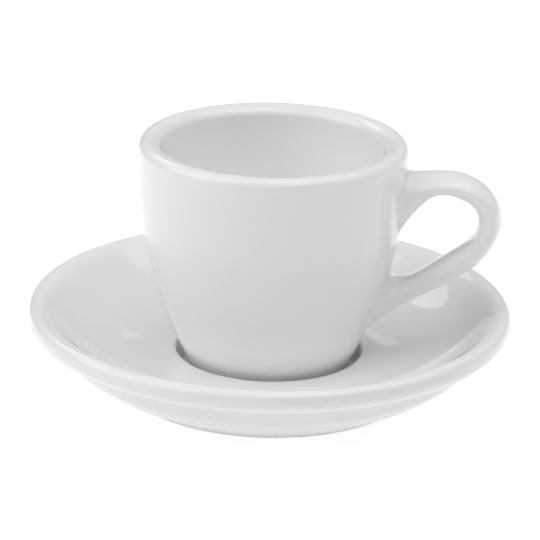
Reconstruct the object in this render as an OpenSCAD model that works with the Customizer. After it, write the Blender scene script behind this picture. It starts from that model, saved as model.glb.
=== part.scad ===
// Espresso cup with saucer in thick glazed porcelain. The cup stands loose in the
// well of the saucer, and its ear-shaped handle is a piece of its own that is joined
// to the wall. Millimetres, +Z up. The origin is the centre of the saucer's foot on
// the table, and the handle points along +X.

/* [Saucer rim] */
// Outer diameter of the saucer
saucer_d = 117; // [110:1:124]
// Height of the rim's top above the table
saucer_h = 20.4; // [19.6:0.1:22]
// Width of the rounded band along the rim
rim_w = 4.5; // [3.9:0.1:5.1]
// Drop from the rim's top to its widest circle
rim_drop = 2.1; // [1.6:0.1:2.6]
// Drop from the rim's top to the inner shoulder of the band
shoulder_drop = 0.9; // [0.6:0.1:1.2]
// Height of the corner under the rim
ledge_h = 13.9; // [13.2:0.1:14.5]
// How far the rim overhangs that corner
ledge_w = 6.6; // [5.6:0.1:7.6]

/* [Saucer dish] */
// Width of the upright band between the rim and the shallow belly
band_w = 2.4; // [1.8:0.1:3]
// Height of the belly's upper edge
band_h = 9; // [8.4:0.1:9.6]
// Height of the dish's floor round the well
dish_h = 8.9; // [8.4:0.1:9.6]
// Thickness of the dish's floor
dish_t = 4.6; // [4:0.1:5.2]

/* [Saucer foot] */
// Outer diameter of the foot where it meets the table
saucer_foot_d = 72.8; // [68:0.4:76]
// Width of the foot's face
saucer_foot_w = 3; // [2.4:0.1:3.6]
// Height of the crease where the foot runs into the belly
crease_h = 2.9; // [2.4:0.1:3.4]
// How far the foot spreads outward up to the crease
foot_spread = 3.3; // [2.4:0.1:4]

/* [Saucer well] */
// Height of the well's floor above the table
well_floor_h = 4.2; // [3.9:0.1:4.8]
// Thickness of the well's floor
well_t = 3; // [2.6:0.1:3.4]
// Clearance round the cup's foot on the well's floor
well_gap = 1.1; // [0.8:0.1:1.6]
// How far the well widens from its floor to its mouth
well_flare = 2.2; // [1.8:0.1:2.8]
// Slope of the well's side in degrees
well_slope = 65; // [55:1:75]
// Radius of the edge round the well's mouth
mouth_r = 0.9; // [0.6:0.1:1.2]
// Radius of the fillet round the well's floor
well_fillet = 1.2; // [0.8:0.1:1.6]

/* [Cup] */
// Largest diameter of the cup
cup_d = 64.6; // [61:0.2:68]
// Height of the cup from its foot to its rim
cup_h = 57.3; // [56:0.1:60]
// Diameter of the cup's foot
cup_foot_d = 38.3; // [37:0.1:40]
// Thickness of the wall at the lip
wall_t = 5.7; // [5:0.1:6.4]
// Height of the inside floor above the cup's foot
cup_floor_h = 7; // [6:0.1:8]
// Depth of the outer rounding of the lip
lip_outer_h = 2.4; // [2:0.1:3]
// Width of the outer rounding of the lip
lip_outer_w = 2.2; // [1.8:0.1:2.6]
// Depth of the inner rounding of the lip
lip_inner_h = 2.7; // [2.2:0.1:3.2]

/* [Cup foot] */
// Width of the ring that the cup stands on
cup_ring_w = 3; // [2.4:0.1:3.6]
// Depth of the hollow inside that ring
cup_hollow_h = 1.6; // [1.2:0.1:2]
// Rounding of the edges of both feet
foot_r = 0.6; // [0.4:0.1:0.8]

/* [Handle] */
// Reach of the handle's middle line from the cup's side
handle_reach = 19.7; // [18:0.1:22]
// Drop from the cup's rim to the middle line at the top of the arch
handle_drop = 8.1; // [7.6:0.1:10]
// Height of the middle line at the lower joint above the cup's foot
handle_low_h = 17.8; // [16:0.1:20]
// Thickness of the handle in its own plane
handle_t = 5.6; // [5:0.1:6.2]
// Width of the handle across its plane
handle_w = 11.6; // [10:0.1:13]
// Width of both joints on the cup's wall
handle_root_w = 16.8; // [15:0.1:18]

/* [Hidden] */
$fn = 96;

// Points on each curve, and on each rounding
curve_steps = 16;
arc_steps = 6;

glaze_colour = [0.93, 0.93, 0.92];

rim_r = saucer_d / 2;
ledge_r = rim_r - ledge_w;
band_r = ledge_r - band_w;
saucer_foot_r = saucer_foot_d / 2;
cup_foot_r = cup_foot_d / 2;
cup_r = cup_d / 2;
well_r = cup_foot_r + well_gap;
mouth_ring_r = well_r + well_flare;

lip_base_h = cup_h - lip_outer_h;
lip_inner_w = wall_t - lip_outer_w;
inside_r = cup_r - wall_t;
inside_top_h = cup_h - lip_inner_h;

// Rim band: where its crest lies, and where it starts to fall to the shoulder
crest_share = 0.4;
fall_share = 0.7;

// Underside of the rim: rounding of the inner corner, and how far it rolls up outside
corner_share = 0.16;
roll_share = 0.24;

// Belly of the saucer: how far its bend lies from the crease to the band
dip_shares = [0.42, 0.16];

// Belly of the cup: shares of the way from foot to side, and from foot to lip
belly_shares = [[0, 0], [0.79, 0.43], [0.97, 0.6], [1, 1]];

// Bowl inside the cup: shares of the inside radius, and of the way from floor to lip
bowl_shares = [[1, 1], [0.91, 0.5], [0.77, 0], [0, 0]];

// Dish: shares of the way from mouth to shoulder, outward and upward
dish_shares = [[1, 1], [0.87, 0.74], [0.745, 0], [0, 0]];

// How far the outer edge of a foot is rounded, in degrees of a turn
edge_turn = 75;

// Middle line of the handle: shares of the reach, and of the rise from joint to arch
middle_shares = [[-0.29, 0.685], [0.1, 0.876], [0.409, 1.036], [0.896, 0.921], [1.045, 0.745],
    [0.942, 0.484], [0.436, 0.267], [-0.104, 0.054]];

// Its last point lies inside the wall: shares of the foot's radius, and of the rise
sunk_shares = [1.247, -0.01];

// From the middle line to the outer face: shares of the handle's thickness
outward_shares = [[0.45, 2], [0.144, 1.007], [0.613, 0.37], [0.421, 0.26], [0.602, -0.085],
    [0.273, -0.378], [0.39, -0.447], [0.082, -0.251], [-0.777, -1.71]];

// Part of the handle's length over which each joint spreads to its full width
root_share = 0.17;

// Fullness of the handle's section, where 2 is an ellipse
section_power = 2.2;
handle_steps = 44;
section_steps = 28;

// A point on a curve of three or four control points
function mix(a, b, t) = a + (b - a) * t;
function bend3(a, b, c, t) = mix(mix(a, b, t), mix(b, c, t), t);
function bend4(a, b, c, d, t) = mix(bend3(a, b, c, t), bend3(b, c, d, t), t);

// Points along such curves, without the first one
function run3(a, b, c) = [for (i = [1:curve_steps]) bend3(a, b, c, i / curve_steps)];
function run4(p) = [for (i = [1:curve_steps]) bend4(p[0], p[1], p[2], p[3], i / curve_steps)];

// Points on a stretch of an ellipse with half-axes r and h, also without the first one
function arc(centre, r, h, from, to) =
    [for (i = [1:arc_steps]) let (a = mix(from, to, i / arc_steps)) centre + [r * cos(a), h * sin(a)]];

// One place, or a list of them, in shares of a width and a height from a corner
function place(share, corner, size) = corner + [share[0] * size[0], share[1] * size[1]];
function lay(shares, corner, size) = [for (s = shares) place(s, corner, size)];

// The foot of both pieces: a flat face with rounded edges, from its inner to its outer side
function foot_face(inner_r, outer_r) = concat(
    [[inner_r, foot_r]],
    arc([inner_r + foot_r, foot_r], foot_r, foot_r, 180, 270),
    [[outer_r - foot_r, 0]],
    arc([outer_r - foot_r, foot_r], foot_r, foot_r, 270, 270 + edge_turn));

function saucer_underside() =
    let (boss_h = well_floor_h - well_t,
         under_h = dish_h - dish_t,
         inner_r = saucer_foot_r - saucer_foot_w,
         crease = [saucer_foot_r + foot_spread, crease_h],
         band = [band_r, band_h],
         ledge = [ledge_r, ledge_h])
    concat(
        [[0, boss_h], [well_r, boss_h], [mouth_ring_r, under_h], [inner_r - foot_r, under_h]],
        foot_face(inner_r, saucer_foot_r),
        run3([saucer_foot_r, foot_r], mix([saucer_foot_r, foot_r], crease, 0.5), crease),
        run3(crease, place(dip_shares, crease, band - crease), band),
        [mix(band, ledge, 1 - corner_share)],
        run3(mix(band, ledge, 1 - corner_share), ledge, ledge_end()));

// Where the rounded corner under the rim ends and the rolled edge begins
function ledge_end() = [ledge_r, ledge_h] + corner_share * ledge_w * [1, corner_share];

function saucer_rim() =
    let (side = [rim_r, saucer_h - rim_drop],
         crest = [rim_r - crest_share * rim_w, saucer_h],
         shoulder = [rim_r - rim_w, saucer_h - shoulder_drop])
    concat(
        run3(ledge_end(), [rim_r, mix(ledge_h, side[1], roll_share)], side),
        arc([crest[0], side[1]], crest_share * rim_w, rim_drop, 0, 90),
        run3(crest, [rim_r - fall_share * rim_w, saucer_h], shoulder));

function saucer_top() =
    let (shoulder = [rim_r - rim_w, saucer_h - shoulder_drop],
         mouth = [mouth_ring_r + mouth_r, dish_h],
         side_foot = [well_r, well_floor_h + well_fillet] + well_fillet * [sin(well_slope), -cos(well_slope)])
    concat(
        run4(lay(dish_shares, mouth, shoulder - mouth)),
        arc(mouth - [0, mouth_r], mouth_r, mouth_r, 90, 90 + well_slope),
        [side_foot],
        arc([well_r, well_floor_h + well_fillet], well_fillet, well_fillet, well_slope - 90, -90),
        [[0, well_floor_h]]);

function cup_outside() = run4(lay(belly_shares, [cup_foot_r, 0], [cup_r - cup_foot_r, lip_base_h]));

function cup_lip() = concat(
    arc([cup_r - lip_outer_w, lip_base_h], lip_outer_w, lip_outer_h, 0, 90),
    arc([inside_r + lip_inner_w, inside_top_h], lip_inner_w, lip_inner_h, 90, 180));

function cup_inside() = run4(lay(bowl_shares, [0, cup_floor_h], [inside_r, inside_top_h - cup_floor_h]));

function cup_underside() =
    let (ring_r = cup_foot_r - cup_ring_w)
    concat([[0, cup_hollow_h], [ring_r - cup_hollow_h, cup_hollow_h]], foot_face(ring_r, cup_foot_r));

// The handle's curves are cubic, and pass through their first and last points
function knot(i, n) = max(0, min(1, (i - 3) / (n - 3)));
function weight(i, k, t, n) = k == 0
    ? (knot(i, n) <= t && t < knot(i + 1, n) ? 1 : 0)
    : let (a = knot(i + k, n) - knot(i, n), b = knot(i + k + 1, n) - knot(i + 1, n))
        (a > 0 ? (t - knot(i, n)) / a * weight(i, k - 1, t, n) : 0)
        + (b > 0 ? (knot(i + k + 1, n) - t) / b * weight(i + 1, k - 1, t, n) : 0);
function along(points, t) = t >= 1
    ? points[len(points) - 1]
    : let (n = len(points), w = [for (i = [0:n - 1]) weight(i, 3, t, n)])
        [for (c = [0, 1]) w * [for (p = points) p[c]]];

function middle_line() =
    let (rise = cup_h - handle_drop - handle_low_h)
    concat(
        lay(middle_shares, [cup_r, handle_low_h], [handle_reach, rise]),
        [place(sunk_shares, [0, handle_low_h], [cup_foot_r, rise])]);
function width_at(t) =
    let (near = max(0, 1 - t / root_share, 1 - (1 - t) / root_share))
    handle_w + (handle_root_w - handle_w) * near * near;
function rounded(x) = sign(x) * pow(abs(x), 2 / section_power);

// One section of the handle, across its middle line
function handle_section(t) =
    let (centre = along(middle_line(), t),
         out = handle_t * along(outward_shares, t),
         half_w = width_at(t) / 2)
    [for (j = [0:section_steps - 1])
        let (a = 360 * j / section_steps, u = rounded(cos(a)), v = rounded(sin(a)))
        [centre[0] + u * out[0], v * half_w, centre[1] + u * out[1]]];

module handle_sweep() {
    points = [for (i = [0:handle_steps]) each handle_section(i / handle_steps)];
    m = section_steps;
    sides = [for (i = [0:handle_steps - 1], j = [0:m - 1])
        let (a = i * m + j, b = i * m + (j + 1) % m)
        each [[a, b, b + m], [a, b + m, a + m]]];
    first = [for (j = [1:m - 2]) [0, j + 1, j]];
    last = [for (j = [1:m - 2]) let (k = handle_steps * m) [k, k + j, k + j + 1]];
    polyhedron(points = points, faces = concat(sides, first, last));
}

// The cup without its hollow, which the handle is trimmed to
module cup_core() {
    rotate_extrude()
        polygon(concat([[0, 0], [cup_foot_r, 0]], cup_outside(), [[0, lip_base_h]]));
}

module saucer() {
    color(glaze_colour)
        rotate_extrude()
            polygon(concat(saucer_underside(), saucer_rim(), saucer_top()));
}

module cup_body() {
    color(glaze_colour)
        translate([0, 0, well_floor_h])
            rotate_extrude()
                polygon(concat(cup_underside(), cup_outside(), cup_lip(), cup_inside()));
}

module cup_handle() {
    color(glaze_colour)
        translate([0, 0, well_floor_h])
            difference() {
                handle_sweep();
                cup_core();
            }
}

saucer();
cup_body();
cup_handle();
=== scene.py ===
"""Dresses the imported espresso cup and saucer. Each piece is made again from the part's own sizes,
in finer meshes, with glazed porcelain on them and bare clay under their feet, in a pale studio.
Profiles are in millimetres as (radius, height), and meshes and the studio are in metres."""

import math

import bpy
import numpy as np
from mathutils import Matrix, Vector


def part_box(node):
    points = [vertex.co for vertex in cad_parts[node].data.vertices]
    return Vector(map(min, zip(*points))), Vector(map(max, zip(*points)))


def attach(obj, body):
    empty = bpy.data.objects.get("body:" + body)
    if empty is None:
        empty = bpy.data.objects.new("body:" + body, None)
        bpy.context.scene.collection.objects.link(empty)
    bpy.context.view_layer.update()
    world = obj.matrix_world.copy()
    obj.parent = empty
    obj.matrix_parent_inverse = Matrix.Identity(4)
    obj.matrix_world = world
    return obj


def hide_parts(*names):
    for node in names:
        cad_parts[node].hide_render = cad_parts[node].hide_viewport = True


MM = 0.001
quarter = math.pi / 2

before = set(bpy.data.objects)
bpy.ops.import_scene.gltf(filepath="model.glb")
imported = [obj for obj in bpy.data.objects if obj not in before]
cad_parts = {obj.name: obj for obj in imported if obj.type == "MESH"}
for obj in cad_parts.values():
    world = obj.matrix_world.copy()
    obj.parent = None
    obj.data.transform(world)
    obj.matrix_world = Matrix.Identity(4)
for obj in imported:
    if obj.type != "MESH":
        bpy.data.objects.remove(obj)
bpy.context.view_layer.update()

# Driving sizes, which come from the frame
_, saucer_high = (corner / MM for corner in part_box("saucer"))
cup_low, cup_high = (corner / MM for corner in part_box("cup_body"))
rim_r = saucer_high.x
saucer_h = saucer_high.z
cup_r = cup_high.x
well_floor_h = cup_low.z
cup_h = cup_high.z - cup_low.z

# Saucer: its rim, its dish, its foot and its well
rim_w = 4.5
rim_drop = 2.1
shoulder_drop = 0.9
ledge_h = 13.9
ledge_r = rim_r - 6.6
band_r = ledge_r - 2.4
band_h = 9.0
dish_h = 8.9
dish_t = 4.6
saucer_foot_r = 36.4
saucer_foot_w = 3.0
crease_h = 2.9
foot_spread = 3.3
well_t = 3.0
well_flare = 2.2
well_slope = math.radians(65)
mouth_r = 0.9
well_fillet = 1.2

# Cup: its wall, its lip and its foot
cup_foot_r = 19.15
wall_t = 5.7
cup_floor_h = 7.0
lip_outer_h = 2.4
lip_outer_w = 2.2
lip_inner_h = 2.7
cup_ring_w = 3.0
cup_hollow_h = 1.6
foot_r = 0.6
well_r = cup_foot_r + 1.1
inside_r = cup_r - wall_t

# Handle: its middle line and its section, then the glaze that fills its joints
handle_reach = 19.7
handle_top_h = cup_h - 8.1
handle_low_h = 17.8
handle_t = 5.6
handle_w = 11.6
handle_root_w = 16.8
root_share = 0.17
section_power = 2.2
fillet_rise = 2.0
fillet_spread = 1.3
fillet_sink = 0.006
cap_sink = 1.2

# Shares that bend the curves, the same ones as in the part's source
crest_share = 0.4
fall_share = 0.7
corner_share = 0.16
roll_share = 0.24
dip_shares = (0.42, 0.16)
edge_turn = math.radians(75)
belly_shares = [(0, 0), (0.79, 0.43), (0.97, 0.6), (1, 1)]
bowl_shares = [(1, 1), (0.91, 0.5), (0.77, 0), (0, 0)]
dish_shares = [(1, 1), (0.87, 0.74), (0.745, 0), (0, 0)]
middle_shares = [(-0.29, 0.685), (0.1, 0.876), (0.409, 1.036), (0.896, 0.921), (1.045, 0.745),
                 (0.942, 0.484), (0.436, 0.267), (-0.104, 0.054)]
sunk_shares = (1.247, -0.01)
outward_shares = [(0.45, 2), (0.144, 1.007), (0.613, 0.37), (0.421, 0.26), (0.602, -0.085),
                  (0.273, -0.378), (0.39, -0.447), (0.082, -0.251), (-0.777, -1.71)]

# Fineness of the meshes
curve_steps = 48
arc_steps = 14
turn_steps = 240
profile_step = 0.1
same_point = 0.0001
edge_softness = 0.3
softness_reach = 4
most_turn = math.radians(2)
most_gap = 1
wall_steps = 600
handle_rows = 150
handle_sides = 72
fillet_rows = 16
hidden_rows = 2
sweep_steps = 801
root_search = 0.32
floor_sides = 96

# Glaze: its noise in features to the metre, its colours, and its relief in metres
glaze_tone = dict(scale=45, detail=3)
glaze_waves = dict(scale=55, detail=1)
glaze_peel = dict(scale=650, detail=2)
glaze_polish = dict(scale=120, detail=3)
glaze_span = (0.3, 0.7)
glaze_colours = [(0.953, 0.949, 0.945), (0.965, 0.961, 0.957)]
wave_depth = 0.00003
peel_depth = 0.0000016
least_roughness = 0.36
most_roughness = 0.48
glaze_values = dict(
    IOR=1.5,
    Specular_IOR_Level=0.2,
    Coat_Weight=1.0,
    Coat_Roughness=0.03,
    Coat_IOR=1.5,
    Subsurface_Weight=0.12,
    Subsurface_Radius=(1.0, 0.9, 0.8),
    Subsurface_Scale=0.0012,
)

# Clay: its noise, its colours, its relief in metres, and how it ends above the foot in millimetres
clay_grain = dict(scale=2600, detail=4, rough=0.65)
clay_span = (0.3, 0.75)
clay_colours = [(0.62, 0.59, 0.55), (0.76, 0.73, 0.68)]
clay_depth = 0.00004
clay_values = dict(Roughness=0.85, IOR=1.4)
clay_edge = dict(scale=300, detail=2)
clay_wander = 0.22
clay_up_to = 0.34
glaze_from = 0.42

# The floor: its size and its paper, then its glow and how much of it each kind of ray sees
floor_r = 2.5
paper_grain = dict(scale=9)
paper_span = (0.2, 0.8)
paper_colours = [(0.94, 0.94, 0.94), (0.96, 0.96, 0.96)]
floor_glow = 1.2
floor_white = 0.7
# Share of the floor's glow that every ray sees: painted light, the floor glowing onto the pieces from
# below as if it were a lamp
floor_glow_lighting = 0.3
near_floor_y = -0.1
far_floor_y = 0.04

# The room: its sides as (turn, rise, level), and the bands at its back as (low, high, level)
plain_white = 1
side_power = 3
room_sides = [(170, 10, 0.42), (-80, 35, 0.36), (0, 45, 0.12), (75, 35, 0.33), (130, 25, 0.5)]
back_side = (-120, 0)
back_bands = [(-5, 5, 0.6), (24, 60, 0.25)]
band_edge = 0.012

# The lamps, which stand round the view's target and face it
lamp_away = 1.0
lamp_colour = (1, 0.965, 0.975)
lamps = {
    "key": dict(turn=-70, rise=40, power=3.5, wide=1, high=1),
    "over": dict(turn=0, rise=68, power=2.35, wide=1, high=1),
    "right": dict(turn=90, rise=68, power=2.7, wide=1, high=1),
    "window": dict(turn=-142, rise=38, power=0.4, wide=0.42, high=0.25),
    "spot": dict(turn=-175.8, rise=21.9, power=0.0026, wide=0.06, high=0.028),
}

# The photograph's camera, with its turn, rise and roll in degrees
view_turn = 6
view_rise = 20.19
view_roll = 1.36
view_distance = 0.62815
view_target = Vector((-0.0001, 0, 0.02837))
lens_pixels = 2600
picture_pixels = 540
sensor_width = 36


def mix(a, b, t):
    """The value that lies a share t of the way from a to b."""
    return a + (b - a) * t


def point(r, h):
    """A point of a profile."""
    return np.array([r, h], float)


def curve(*points):
    """Points on the Bezier curve with these control points, without the first one."""
    line = []
    for i in range(1, curve_steps + 1):
        left = [np.array(p, float) for p in points]
        while len(left) > 1:
            left = [mix(a, b, i / curve_steps) for a, b in zip(left, left[1:])]
        line.append(left[0])
    return line


def arc(centre, half_w, half_h, start, end):
    """Points on a stretch of an ellipse, without the first one."""
    turns = [mix(start, end, i / arc_steps) for i in range(1, arc_steps + 1)]
    return [centre + point(half_w * math.cos(a), half_h * math.sin(a)) for a in turns]


def lay(shares, corner, size):
    """Places in shares of a width and a height from a corner."""
    return [corner + np.array(share) * size for share in shares]


def foot_face(inner_r, outer_r):
    """The ring that a piece stands on, with rounded edges."""
    return [
        point(inner_r, foot_r),
        *arc(point(inner_r + foot_r, foot_r), foot_r, foot_r, 2 * quarter, 3 * quarter),
        point(outer_r - foot_r, 0),
        *arc(point(outer_r - foot_r, foot_r), foot_r, foot_r, 3 * quarter, 3 * quarter + edge_turn),
    ]


def saucer_profile():
    """The saucer from the middle of its underside, round the rim, to the middle of its well."""
    boss_h = well_floor_h - well_t
    mouth_ring_r = well_r + well_flare
    inner_r = saucer_foot_r - saucer_foot_w
    foot_top = point(saucer_foot_r, foot_r)
    crease = point(saucer_foot_r + foot_spread, crease_h)
    band = point(band_r, band_h)
    ledge = point(ledge_r, ledge_h)
    ledge_start = mix(band, ledge, 1 - corner_share)
    ledge_end = ledge + corner_share * (rim_r - ledge_r) * point(1, corner_share)
    side = point(rim_r, saucer_h - rim_drop)
    crest = point(rim_r - crest_share * rim_w, saucer_h)
    shoulder = point(rim_r - rim_w, saucer_h - shoulder_drop)
    mouth = point(mouth_ring_r + mouth_r, dish_h)
    fillet_middle = point(well_r, well_floor_h + well_fillet)
    return [
        point(0, boss_h),
        point(well_r, boss_h),
        point(mouth_ring_r, dish_h - dish_t),
        point(inner_r - foot_r, dish_h - dish_t),
        *foot_face(inner_r, saucer_foot_r),
        *curve(foot_top, mix(foot_top, crease, 0.5), crease),
        *curve(crease, crease + np.array(dip_shares) * (band - crease), band),
        ledge_start,
        *curve(ledge_start, ledge, ledge_end),
        *curve(ledge_end, point(rim_r, mix(ledge_h, side[1], roll_share)), side),
        *arc(point(crest[0], side[1]), crest_share * rim_w, rim_drop, 0, quarter),
        *curve(crest, point(rim_r - fall_share * rim_w, saucer_h), shoulder),
        *curve(*lay(dish_shares, mouth, shoulder - mouth)),
        *arc(mouth - point(0, mouth_r), mouth_r, mouth_r, quarter, quarter + well_slope),
        fillet_middle + well_fillet * point(math.sin(well_slope), -math.cos(well_slope)),
        *arc(fillet_middle, well_fillet, well_fillet, well_slope - quarter, -quarter),
        point(0, well_floor_h),
    ]


def cup_outside():
    """The cup's outer wall from its foot to its lip, without the foot."""
    return curve(*lay(belly_shares, point(cup_foot_r, 0), point(cup_r - cup_foot_r, cup_h - lip_outer_h)))


def cup_profile():
    """The cup from the middle of its underside, over the lip, to the middle of its floor."""
    ring_r = cup_foot_r - cup_ring_w
    lip_inner_w = wall_t - lip_outer_w
    inside_top_h = cup_h - lip_inner_h
    return [
        point(0, cup_hollow_h),
        point(ring_r - cup_hollow_h, cup_hollow_h),
        *foot_face(ring_r, cup_foot_r),
        *cup_outside(),
        *arc(point(cup_r - lip_outer_w, cup_h - lip_outer_h), lip_outer_w, lip_outer_h, 0, quarter),
        *arc(point(inside_r + lip_inner_w, inside_top_h), lip_inner_w, lip_inner_h, quarter, 2 * quarter),
        *curve(*lay(bowl_shares, point(0, cup_floor_h), point(inside_r, inside_top_h - cup_floor_h))),
    ]


def soften(profile):
    """The profile with its corners rounded as a coat of glaze rounds them, in even steps."""
    line = np.array(profile)
    keep = np.hypot(*np.diff(line, axis=0).T) > same_point
    line = line[np.concatenate([[True], keep])]
    at = np.concatenate([[0], np.cumsum(np.hypot(*np.diff(line, axis=0).T))])
    where = np.linspace(0, at[-1], int(at[-1] / profile_step))
    even = np.stack([np.interp(where, at, line[:, i]) for i in (0, 1)], axis=1)
    reach = int(softness_reach * edge_softness / profile_step)
    mirrored = even * (-1, 1)
    padded = np.concatenate([mirrored[reach:0:-1], even, mirrored[-2:-reach - 2:-1]])
    weights = np.exp(-0.5 * (np.arange(-reach, reach + 1) * profile_step / edge_softness) ** 2)
    weights /= weights.sum()
    soft = np.stack([np.convolve(padded[:, i], weights, mode="valid") for i in (0, 1)], axis=1)
    soft[[0, -1], 0] = 0
    return soft


def thin_out(line):
    """The line without the points that its shape can do without."""
    steps = np.diff(line, axis=0)
    headings = np.unwrap(np.arctan2(steps[:, 1], steps[:, 0]))
    lengths = np.hypot(*steps.T)
    kept, turned_by, gone = [0], 0, 0
    for i in range(1, len(line) - 1):
        turned_by += abs(headings[i] - headings[i - 1])
        gone += lengths[i - 1]
        if turned_by > most_turn or gone > most_gap:
            kept.append(i)
            turned_by, gone = 0, 0
    return line[kept + [len(line) - 1]]


def add_mesh(name, verts, faces):
    """An object with smooth faces, in metres."""
    mesh = bpy.data.meshes.new(name)
    mesh.from_pydata([tuple(float(c) for c in v) for v in verts], [], faces)
    mesh.validate()
    mesh.shade_smooth()
    obj = bpy.data.objects.new(name, mesh)
    bpy.context.scene.collection.objects.link(obj)
    return obj


def closed_skin(name, rows, start, end, lift):
    """A closed piece over rows of points in millimetres, with a point in the middle of each end."""
    sides = len(rows[0])
    verts = np.concatenate([*rows, [start, end]]) + (0, 0, lift)
    start_at, end_at = len(verts) - 2, len(verts) - 1
    last_row = start_at - sides
    faces = []
    for j in range(sides):
        k = (j + 1) % sides
        faces.append((start_at, k, j))
        faces.append((end_at, last_row + j, last_row + k))
        for row in range(0, last_row, sides):
            after = row + sides
            faces.append((row + j, row + k, after + k, after + j))
    return add_mesh(name, verts * MM, faces)


def turned(name, profile, lift):
    """A closed piece of revolution, from a profile with both ends on the axis."""
    line = thin_out(soften(profile))
    turns = np.arange(turn_steps) * 2 * math.pi / turn_steps
    rows = [np.column_stack([r * np.cos(turns), r * np.sin(turns), np.full(turn_steps, h)])
            for r, h in line[1:-1]]
    return closed_skin(name, rows, (0, 0, line[0][1]), (0, 0, line[-1][1]), lift)


def spline(points, t):
    """A point on the cubic curve that starts at the first point and ends at the last one."""
    degree = 3
    spans = len(points) - degree
    knots = [0] * degree + [i / spans for i in range(spans + 1)] + [1] * degree
    k = min(int(t * spans), spans - 1) + degree
    near = [np.array(p, float) for p in points[k - degree:k + 1]]
    for r in range(1, degree + 1):
        for j in range(degree, r - 1, -1):
            low, high = knots[j + k - degree], knots[j + 1 + k - r]
            near[j] = mix(near[j - 1], near[j], (t - low) / (high - low))
    return near[degree]


def handle_section(t):
    """One section of the handle across its middle line, in the cup's own heights."""
    rise = handle_top_h - handle_low_h
    middle = lay(middle_shares, point(cup_r, handle_low_h), point(handle_reach, rise))
    middle.append(point(0, handle_low_h) + np.array(sunk_shares) * (cup_foot_r, rise))
    centre = spline(middle, t)
    out = handle_t * spline(outward_shares, t)
    near_root = max(0, 1 - t / root_share, 1 - (1 - t) / root_share)
    half_w = mix(handle_w, handle_root_w, near_root ** 2) / 2
    turns = np.arange(handle_sides) * 2 * math.pi / handle_sides
    u, v = (np.sign(f(turns)) * np.abs(f(turns)) ** (2 / section_power) for f in (np.cos, np.sin))
    return np.stack([centre[0] + u * out[0], v * half_w, centre[1] + u * out[1]], axis=1)


class Wall:
    """The cup's outer wall as a surface: how far out a point lies, and the wall's place below it."""

    def __init__(self):
        line = np.array([point(cup_foot_r, 0)] + cup_outside())
        at = np.concatenate([[0], np.cumsum(np.hypot(*np.diff(line, axis=0).T))])
        where = np.linspace(0, at[-1], wall_steps)
        self.line = np.stack([np.interp(where, at, line[:, i]) for i in (0, 1)], axis=1)
        along = np.gradient(self.line, axis=0)
        along /= np.linalg.norm(along, axis=1, keepdims=True)
        self.out = np.stack([along[:, 1], -along[:, 0]], axis=1)

    def nearest(self, points):
        """For each point, its distance from the wall, and the wall's place and direction there."""
        flat = np.stack([np.hypot(points[:, 0], points[:, 1]), points[:, 2]], axis=1)
        away = flat[:, None] - self.line[None]
        index = (away ** 2).sum(2).argmin(1)
        out = self.out[index]
        far = ((flat - self.line[index]) * out).sum(1)
        base = flat - far[:, None] * out
        spoke = points[:, :2] / flat[:, :1]
        place = np.column_stack([spoke * base[:, :1], base[:, 1]])
        direction_there = np.column_stack([spoke * out[:, :1], out[:, 1]])
        return far, place, direction_there


class Sweep:
    """The handle's skin as lines along it, one for each side."""

    def __init__(self):
        self.at = np.linspace(0, 1, sweep_steps)
        self.sections = np.array([handle_section(t) for t in self.at])

    def spots(self, lengths):
        """For each side, the place on its line at its own share of the handle's length."""
        i = np.minimum((lengths * (sweep_steps - 1)).astype(int), sweep_steps - 2)
        share = (lengths * (sweep_steps - 1) - i)[:, None]
        sides = np.arange(handle_sides)
        return mix(self.sections[i, sides], self.sections[i + 1, sides], share)


def joint_rows(wall, sweep, at_end):
    """The rows of one joint, from the handle down into the wall, and where on the handle they start."""
    step = -1 if at_end else 1
    near = int(root_search * sweep_steps)
    sections = sweep.sections[::step][:near]
    ends = sweep.at[::step][:near]
    far = wall.nearest(sections.reshape(-1, 3))[0].reshape(sections.shape[:2])
    sides = np.arange(handle_sides)

    def where(height):
        """For each side, the share of the length at which it last leaves this height off the wall."""
        i = near - 1 - (far <= height)[::-1].argmax(0)
        low, high = far[i, sides], far[i + 1, sides]
        return mix(ends[i], ends[i + 1], (height - low) / (high - low))

    top_at = where(fillet_rise)
    top = sweep.spots(top_at)
    _, foot, out = wall.nearest(sweep.spots(where(0)))
    around = np.roll(foot, -1, axis=0) - np.roll(foot, 1, axis=0)
    away = np.cross(around, out)
    away *= np.sign((away * (foot - foot.mean(0))).sum(1, keepdims=True))
    away /= np.linalg.norm(away, axis=1, keepdims=True)
    edge = wall.nearest(foot + fillet_spread * away)[1]
    top_far, top_foot, _ = wall.nearest(top)
    rows = []
    for i in range(fillet_rows + hidden_rows + 1):
        t = i / fillet_rows
        _, place, out_here = wall.nearest(mix(mix(top_foot, foot, t), mix(foot, edge, t), t))
        height = top_far * max(0, 1 - t) ** 2 - fillet_sink * t ** 2
        rows.append(place + height[:, None] * out_here)
    rows.append(foot - cap_sink * out)
    return rows, top_at


def handle_piece(name):
    """The handle in one skin, which runs out on the cup's wall in a soft fillet at both joints."""
    wall = Wall()
    sweep = Sweep()
    first, first_at = joint_rows(wall, sweep, False)
    last, last_at = joint_rows(wall, sweep, True)
    middle = [sweep.spots(mix(first_at, last_at, i / handle_rows)) for i in range(1, handle_rows)]
    rows = first[::-1] + middle + last
    return closed_skin(name, rows, rows[0].mean(0), rows[-1].mean(0), well_floor_h)


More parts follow.
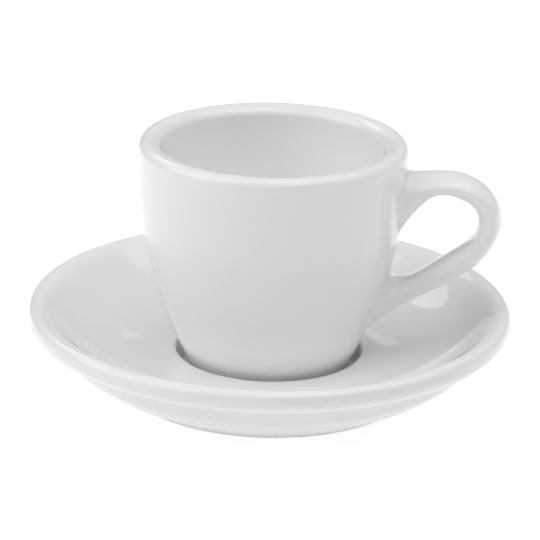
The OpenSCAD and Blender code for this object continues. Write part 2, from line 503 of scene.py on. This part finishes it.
class Nodes:
    """The nodes of a material or a world, under construction."""

    def __init__(self, owner):
        owner.use_nodes = True
        self.tree = owner.node_tree
        self.tree.nodes.clear()

    def feed(self, socket, value):
        """Gives an input a link from an output, or a value of its own."""
        if isinstance(value, bpy.types.NodeSocket):
            self.tree.links.new(value, socket)
        else:
            socket.default_value = value

    def add(self, kind, **values):
        """A node of this kind, with its properties and its inputs set or linked by name."""
        node = self.tree.nodes.new("ShaderNode" + kind)
        for name, value in values.items():
            if hasattr(node, name):
                setattr(node, name, value)
            else:
                self.feed(node.inputs[name.replace("_", " ")], value)
        return node

    def combined(self, operation, first, second):
        """The outcome of an operation on two outputs or numbers."""
        node = self.add("Math", operation=operation)
        self.feed(node.inputs[0], first)
        self.feed(node.inputs[1], second)
        return node.outputs["Value"]

    def mapped(self, value, **ends):
        """The value carried from one range to another, each from nought to one unless it is given."""
        return self.add("MapRange", Value=value, **ends).outputs["Result"]

    def mixed(self, share, first, second):
        """The first shader, which gives way to the second as the share goes from nought to one."""
        node = self.add("MixShader", Fac=share)
        self.feed(node.inputs[1], first)
        self.feed(node.inputs[2], second)
        return node.outputs["Shader"]


def noise(nodes, place, scale, detail=2.0, rough=0.5):
    """Soft three-dimensional noise, in features to the metre."""
    node = nodes.add("TexNoise", Vector=place, Scale=scale, Detail=detail, Roughness=rough)
    return node.outputs["Fac"]


def ramp(nodes, factor, span, colours):
    """The first colour, which gives way to the second as the factor crosses the span."""
    node = nodes.add("ValToRGB", Fac=factor)
    for element, position, colour in zip(node.color_ramp.elements, span, colours):
        element.position = position
        element.color = (*colour, 1)
    return node.outputs["Color"]


def bump(nodes, height, depth, under=None):
    """Relief of this depth in metres, over the relief under it."""
    node = nodes.add("Bump", Strength=1.0, Distance=depth, Height=height)
    if under is not None:
        nodes.feed(node.inputs["Normal"], under)
    return node.outputs["Normal"]


def glaze(nodes, place):
    """White porcelain under a clear glaze with a faint orange peel."""
    colour = ramp(nodes, noise(nodes, place, **glaze_tone), glaze_span, glaze_colours)
    polish = noise(nodes, place, **glaze_polish)
    roughness = nodes.mapped(polish, To_Min=least_roughness, To_Max=most_roughness)
    relief = bump(nodes, noise(nodes, place, **glaze_waves), wave_depth)
    relief = bump(nodes, noise(nodes, place, **glaze_peel), peel_depth, relief)
    node = nodes.add("BsdfPrincipled", Base_Color=colour, Roughness=roughness, Normal=relief,
                     Coat_Normal=relief, **glaze_values)
    return node.outputs["BSDF"]


def clay(nodes, place):
    """Bare fired clay, dull and grainy."""
    grain = noise(nodes, place, **clay_grain)
    colour = ramp(nodes, grain, clay_span, clay_colours)
    relief = bump(nodes, grain, clay_depth)
    node = nodes.add("BsdfPrincipled", Base_Color=colour, Normal=relief, **clay_values)
    return node.outputs["BSDF"]


def porcelain(name, foot_h):
    """Glazed porcelain, with bare clay on the ring that the piece stands on."""
    material = bpy.data.materials.new(name)
    nodes = Nodes(material)
    place = nodes.add("TexCoord").outputs["Object"]
    height = nodes.add("SeparateXYZ", Vector=place).outputs["Z"]
    edge = noise(nodes, place, **clay_edge)
    wander = nodes.mapped(edge, To_Min=-clay_wander * MM, To_Max=clay_wander * MM)
    glazed = nodes.mapped(nodes.combined("ADD", height, wander),
                          From_Min=(foot_h + clay_up_to) * MM, From_Max=(foot_h + glaze_from) * MM)
    surface = nodes.mixed(glazed, clay(nodes, place), glaze(nodes, place))
    nodes.add("OutputMaterial", Surface=surface)
    return material


def paper(name):
    """The floor's white paper. Most of what the camera sees of it is its own glow. Reflections see
    more of that glow the further back the floor is, and all other rays see a little of it, a painted glow
    that lights the pieces from below."""
    material = bpy.data.materials.new(name)
    nodes = Nodes(material)
    place = nodes.add("TexCoord").outputs["Object"]
    colour = ramp(nodes, noise(nodes, place, **paper_grain), paper_span, paper_colours)
    matt = nodes.add("BsdfDiffuse", Color=colour).outputs["BSDF"]
    glow = nodes.add("Emission", Strength=floor_glow).outputs["Emission"]
    far_back = nodes.mapped(nodes.add("SeparateXYZ", Vector=place).outputs["Y"],
                            From_Min=near_floor_y, From_Max=far_floor_y)
    rays = nodes.add("LightPath").outputs
    mirrored = nodes.combined("MAXIMUM", rays["Is Glossy Ray"], rays["Is Transmission Ray"])
    mirrored = nodes.combined("MULTIPLY", mirrored, far_back)
    seen = nodes.combined("MULTIPLY", rays["Is Camera Ray"], floor_white)
    # Every ray sees at least a little of the glow, so the floor sheds painted light on the pieces
    share = nodes.combined("MAXIMUM", nodes.combined("MAXIMUM", seen, mirrored), floor_glow_lighting)
    nodes.add("OutputMaterial", Surface=nodes.mixed(share, matt, glow))
    return material


def direction(turn, rise):
    """The direction of a place that stands at this turn and rise, in degrees, as the camera's."""
    a, e = math.radians(turn), math.radians(rise)
    return Vector((math.sin(a) * math.cos(e), -math.cos(a) * math.cos(e), math.sin(e)))


def soft_box(name, turn, rise, power, wide, high):
    """A flat lamp that faces the cup."""
    data = bpy.data.lights.new(name, "AREA")
    data.shape = "ELLIPSE"
    data.size = wide
    data.size_y = high
    data.energy = power
    data.color = lamp_colour
    obj = bpy.data.objects.new(name, data)
    bpy.context.scene.collection.objects.link(obj)
    place = direction(turn, rise)
    obj.location = view_target + lamp_away * place
    obj.rotation_euler = place.to_track_quat("Z", "Y").to_euler()
    obj.visible_camera = False


def above(nodes, height, rise, edge):
    """One above this rise and nought below it, or the other way round for an edge below nought."""
    middle = math.sin(math.radians(rise))
    return nodes.mapped(height, From_Min=middle - edge, From_Max=middle + edge)


def room():
    """Light from all round, with more of it from some sides and in bands at the back on the left.
    The camera sees plain white."""
    world = bpy.data.worlds.new("room")
    bpy.context.scene.world = world
    nodes = Nodes(world)
    place = nodes.add("TexCoord").outputs["Generated"]
    height = nodes.add("SeparateXYZ", Vector=place).outputs["Z"]

    def toward(turn, rise):
        """How far a place in the room lies toward this side, from nought to one."""
        node = nodes.add("VectorMath", operation="DOT_PRODUCT")
        nodes.feed(node.inputs[0], place)
        nodes.feed(node.inputs[1], direction(turn, rise))
        return nodes.combined("MAXIMUM", node.outputs["Value"], 0)

    parts = [nodes.combined("MULTIPLY", nodes.combined("POWER", toward(turn, rise), side_power), level)
             for turn, rise, level in room_sides]
    for low, high, level in back_bands:
        band = nodes.combined("MULTIPLY", above(nodes, height, low, band_edge),
                              above(nodes, height, high, -band_edge))
        band = nodes.combined("MULTIPLY", band, toward(*back_side))
        parts.append(nodes.combined("MULTIPLY", band, level))
    total = parts[0]
    for part in parts[1:]:
        total = nodes.combined("ADD", total, part)
    rays = nodes.add("LightPath").outputs
    strength = nodes.mapped(rays["Is Camera Ray"], To_Min=total, To_Max=plain_white)
    light = nodes.add("Background", Strength=strength)
    nodes.add("OutputWorld", Surface=light.outputs["Background"])


def studio():
    """The floor, the room and the lamps."""
    turns = [2 * math.pi * i / floor_sides for i in range(floor_sides)]
    ring = [(floor_r * math.cos(a), floor_r * math.sin(a), 0) for a in turns]
    floor = add_mesh("floor", ring, [tuple(range(floor_sides))])
    floor.data.materials.append(paper("floor_paper"))

    room()
    for name, values in lamps.items():
        soft_box("lamp_" + name, **values)


def camera():
    """The photograph's view: a long lens from a little above the rim, with a slight roll."""
    back = direction(view_turn, view_rise)
    right = direction(view_turn + math.degrees(quarter), 0)
    up = back.cross(right)
    c, s = math.cos(math.radians(view_roll)), math.sin(math.radians(view_roll))
    axes = Matrix((c * right + s * up, -s * right + c * up, back)).transposed()
    data = bpy.data.cameras.new("view")
    data.sensor_width = sensor_width
    data.lens = lens_pixels / picture_pixels * sensor_width
    obj = bpy.data.objects.new("view", data)
    bpy.context.scene.collection.objects.link(obj)
    obj.matrix_world = Matrix.Translation(view_target + view_distance * back) @ axes.to_4x4()
    bpy.context.scene.camera = obj


def dress(obj, material, body, node):
    """Gives a piece its material, and makes it stand for its node of the frame."""
    obj.data.materials.append(material)
    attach(obj, body)
    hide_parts(node)


camera()
studio()

saucer_glaze = porcelain("saucer_porcelain", 0)
cup_glaze = porcelain("cup_porcelain", well_floor_h)
dress(turned("saucer_glazed", saucer_profile(), 0), saucer_glaze, "saucer", "saucer")
dress(turned("cup_glazed", cup_profile(), well_floor_h), cup_glaze, "cup", "cup_body")
dress(handle_piece("handle_glazed"), cup_glaze, "cup", "cup_handle")

bpy.context.scene.view_settings.view_transform = "Standard"
